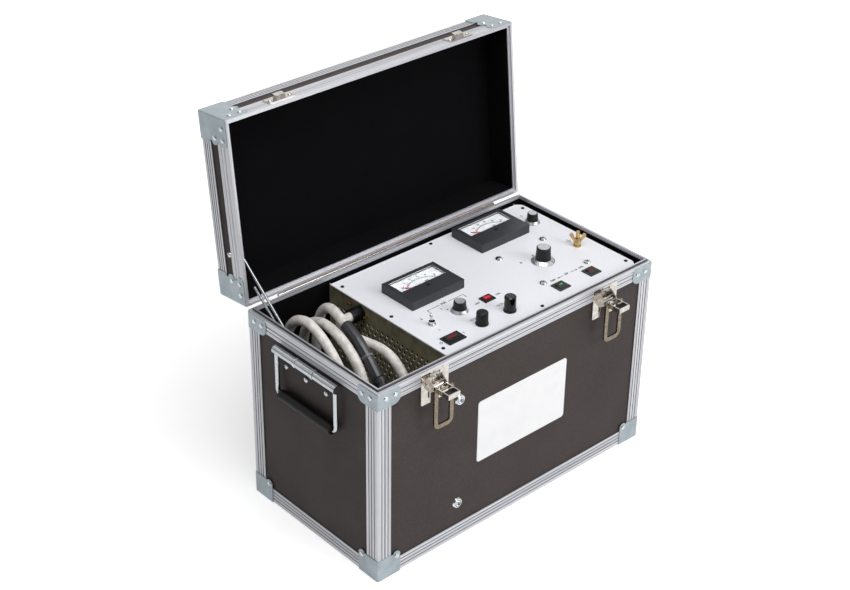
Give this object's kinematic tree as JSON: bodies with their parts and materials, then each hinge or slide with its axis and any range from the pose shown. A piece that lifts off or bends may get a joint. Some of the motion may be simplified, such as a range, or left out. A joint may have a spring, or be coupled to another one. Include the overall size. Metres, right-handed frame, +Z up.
{
  "type": "hipot tester",
  "caption": "Portable high-voltage withstand tester: aluminium-edged transit case with open hinged lid, analogue meters, output dial and stowed test lead.",
  "frame": {"origin": "centre of the base's flat underside", "axes": "+X to the right along the long side, +Y to the back where the lid is hinged, +Z up"},
  "size_m": [0.5898, 0.4326, 0.6325],
  "materials": {
    "laminate": "dark brown-grey textured laminate on plywood",
    "aluminium_extrusion": "ribbed, satin anodised",
    "zinc_steel": "bright zinc plated pressed steel",
    "rivet_steel": "domed plated rivets",
    "felt": "black felt lining",
    "hinge_steel": "yellow zinc plated piano hinge",
    "stay_steel": "bright plated steel",
    "latch_nickel": "nickel plated pressed steel",
    "handle_steel": "bright zinc plated steel",
    "grip_rubber": "black rubber sleeve",
    "chassis_steel": "gold chromate passivated steel sheet",
    "panel_paint": "fine light grey-white powder coat on aluminium",
    "black_screw": "black oxide screws",
    "bright_screw": "nickel plated",
    "meter_plastic": "satin black moulded case",
    "dial_card": "white printed dial card",
    "meter_glass": "clear acrylic window",
    "pointer_red": "red painted pointer",
    "black_plastic": "black moulded plastic",
    "gloss_black": "glossy black phenolic",
    "knob_black": "black fluted knob with a metal skirt",
    "red_rocker": "translucent red rocker",
    "dark_rocker": "black rocker with a coloured lens",
    "brass": "turned brass",
    "lead_jacket": "off-white silicone cable jacket",
    "copper_winding": "enamelled copper winding on a ring core",
    "core_steel": "varnished laminated core with potted winding",
    "board_green": "circuit board with relays"
  },
  "bodies": {
    "case": {"base_panels": "laminate", "base_edges": "aluminium_extrusion", "base_rim": "aluminium_extrusion", "base_corner_plates": "zinc_steel", "base_rivets": "rivet_steel", "base_lining": "felt", "hinge_base_leaf": "hinge_steel", "hinge_pin": "hinge_steel", "stay_stud": "stay_steel", "latch_plates": "latch_nickel", "handle_plates": "handle_steel", "chassis": "chassis_steel", "control_panel": "panel_paint", "panel_screws": "black_screw", "bright_fixings": "bright_screw", "meter_cases": "meter_plastic", "meter_dials": "dial_card", "meter_windows": "meter_glass", "switch_bezels": "black_plastic", "fuse_holders": "black_plastic", "earth_post": "brass", "cable_gland": "black_plastic", "hv_cable": "lead_jacket", "cable_plug": "black_plastic", "variac": "copper_winding", "hv_transformer": "core_steel", "control_board": "board_green"},
    "lid": {"lid_panels": "laminate", "lid_edges": "aluminium_extrusion", "lid_rim": "aluminium_extrusion", "lid_corner_caps": "zinc_steel", "lid_rivets": "rivet_steel", "lid_lining": "felt", "lid_strikes": "latch_nickel", "hinge_lid_leaf": "hinge_steel", "stay_bracket": "stay_steel"},
    "lid_stay": {"stay_arm": "stay_steel"},
    "left_lever": {"latch_lever_left": "latch_nickel"},
    "right_lever": {"latch_lever_right": "latch_nickel"},
    "left_bail": {"latch_bail_left": "latch_nickel"},
    "right_bail": {"latch_bail_right": "latch_nickel"},
    "left_handle": {"handle_bail_left": "handle_steel", "handle_grip_left": "grip_rubber"},
    "right_handle": {"handle_bail_right": "handle_steel", "handle_grip_right": "grip_rubber"},
    "output_control": {"output_knob": "knob_black", "output_wiper": "brass"},
    "range_control": {"range_knob": "knob_black"},
    "mode_control": {"mode_knob": "knob_black"},
    "left_needle": {"pointer_left": "pointer_red"},
    "right_needle": {"pointer_right": "pointer_red"},
    "power_switch": {"rocker_power": "dark_rocker"},
    "hv_on_switch": {"rocker_hv_on": "dark_rocker"},
    "hv_off_switch": {"rocker_hv_off": "dark_rocker"},
    "alarm_switch": {"rocker_alarm": "red_rocker"},
    "low_fuse": {"fuse_cap_low": "black_plastic"},
    "tall_fuse": {"fuse_cap_tall": "gloss_black"},
    "toggle": {"toggle_lever": "bright_screw"},
    "earth_nut": {"wing_nut": "brass"}
  },
  "joints": [
    {"name": "lid_hinge", "type": "hinge", "parent": "case", "child": "lid", "pos_m": [0, 0.1488, 0.333], "axis": [1, 0, 0], "range_deg": [0, 96]},
    {"name": "stay_pivot", "type": "hinge", "parent": "lid", "child": "lid_stay", "pos_m": [-0.266, 0.18749, 0.40688], "axis": [1, 0, 0], "range_deg": [-48.1, 0.1]},
    {"name": "left_lever_pivot", "type": "hinge", "parent": "case", "child": "left_lever", "pos_m": [-0.175, -0.154, 0.306], "axis": [1, 0, 0], "range_deg": [-70, 12]},
    {"name": "left_bail_pivot", "type": "hinge", "parent": "left_lever", "child": "left_bail", "pos_m": [-0.175, -0.166, 0.306], "axis": [1, 0, 0], "range_deg": [-105, 2]},
    {"name": "left_handle_pivot", "type": "hinge", "parent": "case", "child": "left_handle", "pos_m": [-0.2869, 0.004, 0.302], "axis": [0, 1, 0], "range_deg": [0, 90]},
    {"name": "right_lever_pivot", "type": "hinge", "parent": "case", "child": "right_lever", "pos_m": [0.175, -0.154, 0.306], "axis": [1, 0, 0], "range_deg": [-70, 12]},
    {"name": "right_bail_pivot", "type": "hinge", "parent": "right_lever", "child": "right_bail", "pos_m": [0.175, -0.166, 0.306], "axis": [1, 0, 0], "range_deg": [-105, 2]},
    {"name": "right_handle_pivot", "type": "hinge", "parent": "case", "child": "right_handle", "pos_m": [0.2869, 0.004, 0.302], "axis": [0, -1, 0], "range_deg": [0, 90]},
    {"name": "output_turn", "type": "hinge", "parent": "case", "child": "output_control", "pos_m": [0.1587, -0.0296, 0.327], "axis": [0, 0, -1], "range_deg": [0, 320]},
    {"name": "range_turn", "type": "hinge", "parent": "case", "child": "range_control", "pos_m": [-0.04, -0.0525, 0.327], "axis": [0, 0, -1], "range_deg": [-45, 45]},
    {"name": "mode_turn", "type": "hinge", "parent": "case", "child": "mode_control", "pos_m": [0.235, 0.0705, 0.327], "axis": [0, 0, -1], "range_deg": [0, 270]},
    {"name": "left_needle_swing", "type": "hinge", "parent": "case", "child": "left_needle", "pos_m": [-0.042, 0.0045, 0.3382], "axis": [0, 0, -1], "range_deg": [0, 90]},
    {"name": "right_needle_swing", "type": "hinge", "parent": "case", "child": "right_needle", "pos_m": [0.1545, 0.062, 0.3382], "axis": [0, 0, -1], "range_deg": [0, 90]},
    {"name": "power_rock", "type": "hinge", "parent": "case", "child": "power_switch", "pos_m": [-0.0995, -0.103, 0.3265], "axis": [1, 0, 0], "range_deg": [-14, 0]},
    {"name": "hv_on_rock", "type": "hinge", "parent": "case", "child": "hv_on_switch", "pos_m": [0.1915, -0.102, 0.3265], "axis": [1, 0, 0], "range_deg": [-14, 0], "stiffness_Nm_per_rad": 0.06},
    {"name": "hv_off_rock", "type": "hinge", "parent": "case", "child": "hv_off_switch", "pos_m": [0.124, -0.102, 0.3265], "axis": [1, 0, 0], "range_deg": [-14, 0], "stiffness_Nm_per_rad": 0.06},
    {"name": "alarm_rock", "type": "hinge", "parent": "case", "child": "alarm_switch", "pos_m": [0.0138, -0.0555, 0.3265], "axis": [1, 0, 0], "range_deg": [-14, 0]},
    {"name": "low_fuse_turn", "type": "hinge", "parent": "case", "child": "low_fuse", "pos_m": [-0.0404, -0.101, 0.337], "axis": [0, 0, 1], "range_deg": [0, 90]},
    {"name": "tall_fuse_turn", "type": "hinge", "parent": "case", "child": "tall_fuse", "pos_m": [0.0166, -0.101, 0.337], "axis": [0, 0, 1], "range_deg": [0, 90]},
    {"name": "toggle_flip", "type": "hinge", "parent": "case", "child": "toggle", "pos_m": [-0.098, -0.0555, 0.3284], "axis": [1, 0, 0], "range_deg": [0, 18]},
    {"name": "earth_nut_turn", "type": "hinge", "parent": "case", "child": "earth_nut", "pos_m": [0.2337, -0.0312, 0.337], "axis": [0, 0, 1], "continuous": true}
  ],
  "couplings": [
    {"joint": "stay_pivot", "follows": "lid_hinge", "ratio": -0.5}
  ]
}
